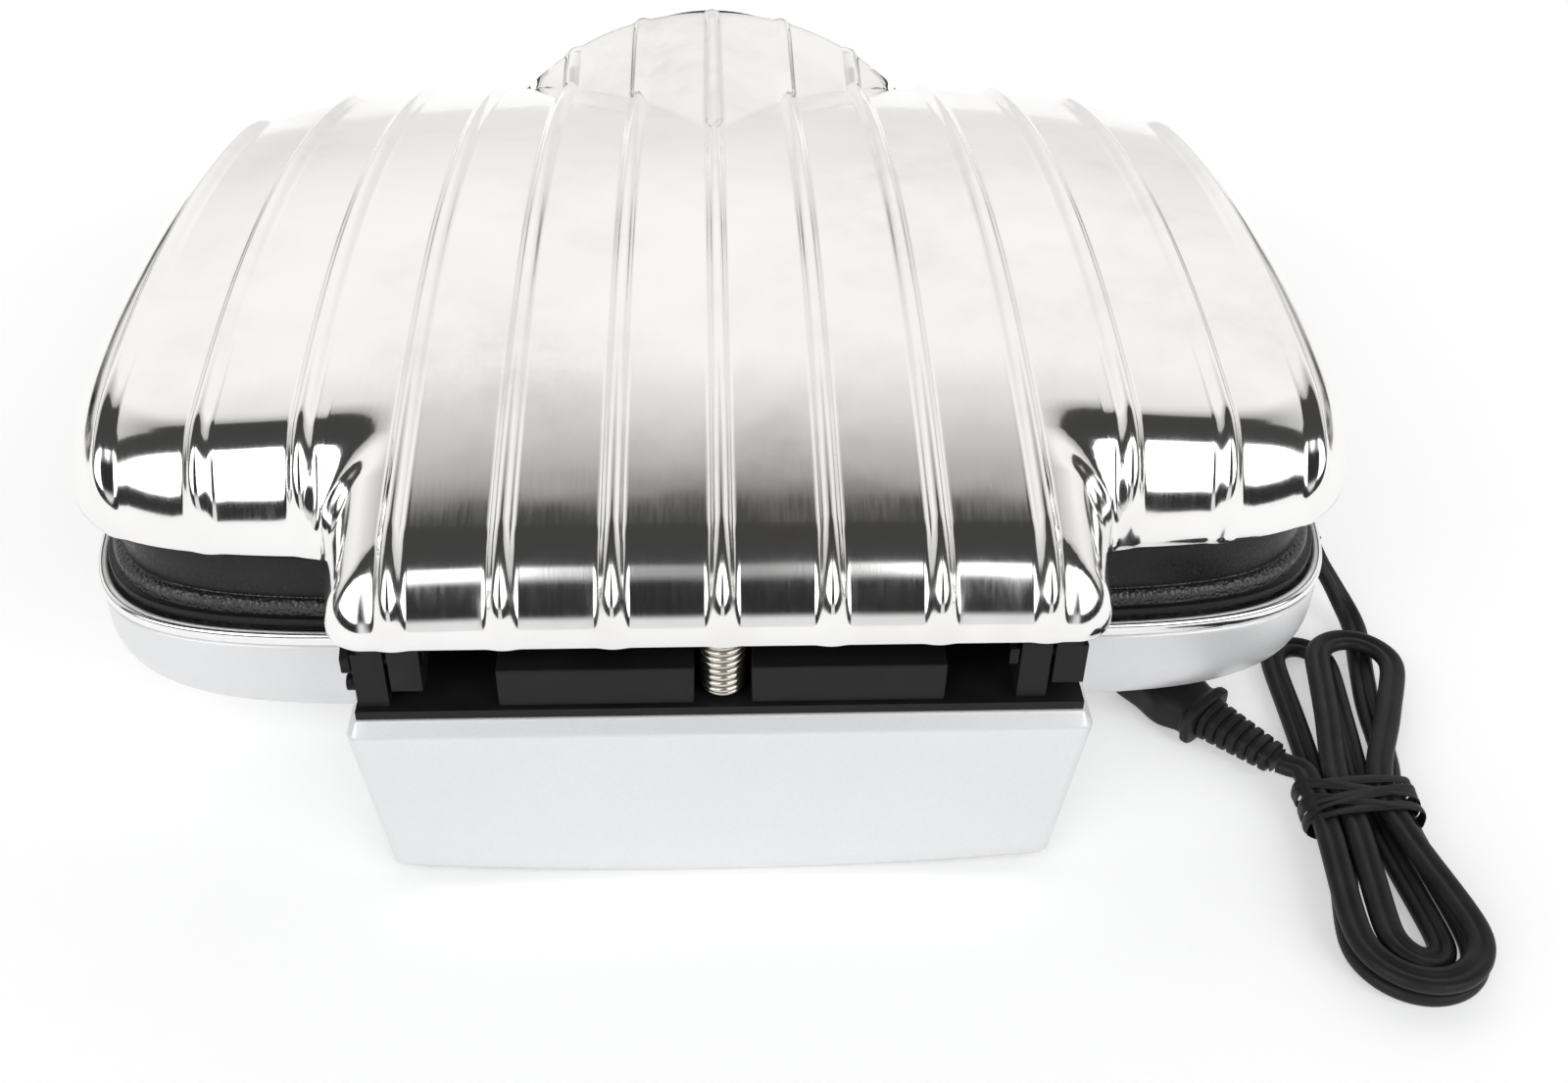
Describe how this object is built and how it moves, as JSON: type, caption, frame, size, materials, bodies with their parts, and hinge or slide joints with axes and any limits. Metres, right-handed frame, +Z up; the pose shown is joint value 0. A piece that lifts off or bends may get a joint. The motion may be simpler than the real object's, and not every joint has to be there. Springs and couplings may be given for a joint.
{
  "type": "contact grill",
  "caption": "Countertop contact grill: ribbed cast lid on a floating rear hinge over ridged plates, with a finger pocket in front and a tied mains cord.",
  "frame": {"origin": "on the table, under the middle of the grill without its cord", "axes": "-Y is the handle side, +Y the hinge side, +X the grill's left as seen from behind, +Z up"},
  "size_m": [0.3966, 0.3802, 0.1292],
  "materials": {
    "cast_aluminium": "polished, faintly brushed",
    "silver_paint": "silver paint with a fine satin texture",
    "black_plastic": "satin moulded black",
    "non_stick": "black non-stick coating with a fine grain",
    "steel": "plain",
    "sheet_steel": "bright aluminised sheet",
    "rubber": "matte",
    "ceramic": "glazed",
    "sleeve": "woven",
    "cord_vinyl": "satin vinyl",
    "tie_band": "wrapped film",
    "brass": "plated"
  },
  "bodies": {
    "base": {"base_shell": "silver_paint", "rear_bottom_cover": "black_plastic", "cover_screw_left": "steel", "cover_screw_right": "steel", "front_foot_left": "rubber", "front_foot_right": "rubber", "rear_foot_left": "rubber", "rear_foot_right": "rubber", "lower_grill_plate": "non_stick", "lower_heating_element": "steel", "lower_reflector": "sheet_steel", "thermostat": "steel", "terminal_block": "ceramic", "hinge_deck": "black_plastic", "hinge_block_left": "black_plastic", "hinge_block_right": "black_plastic", "tower_left": "black_plastic", "tower_right": "black_plastic", "stop_pin_left": "steel", "wire_guard_spring": "steel", "lid_leads": "sleeve", "cord_gland": "cord_vinyl", "cord_lead": "cord_vinyl", "cord_hank": "cord_vinyl", "cord_tie": "tie_band", "cord_tail": "cord_vinyl", "plug_relief": "cord_vinyl", "plug_body": "cord_vinyl", "plug_blade_left": "brass", "plug_blade_right": "brass"},
    "hinge_carrier": {"hinge_pin_left": "steel", "hinge_pin_right": "steel"},
    "lid": {"lid_shell": "cast_aluminium", "handle_insert": "black_plastic", "upper_grill_plate": "non_stick", "upper_heating_element": "steel", "upper_reflector": "sheet_steel", "upper_plate_screw_left": "steel", "upper_plate_screw_right": "steel", "lid_arm_left": "black_plastic", "lid_arm_right": "black_plastic", "hinge_bar_left": "black_plastic", "hinge_bar_right": "black_plastic"}
  },
  "joints": [
    {"name": "lid_float", "type": "slide", "parent": "base", "child": "hinge_carrier", "axis": [0, 0, 1], "range_m": [0, 0.01], "deforming": ["wire_guard_spring"]},
    {"name": "lid_hinge", "type": "hinge", "parent": "hinge_carrier", "child": "lid", "pos_m": [0, 0.1555, 0.074], "axis": [-1, 0, 0], "range_deg": [0, 95]}
  ]
}
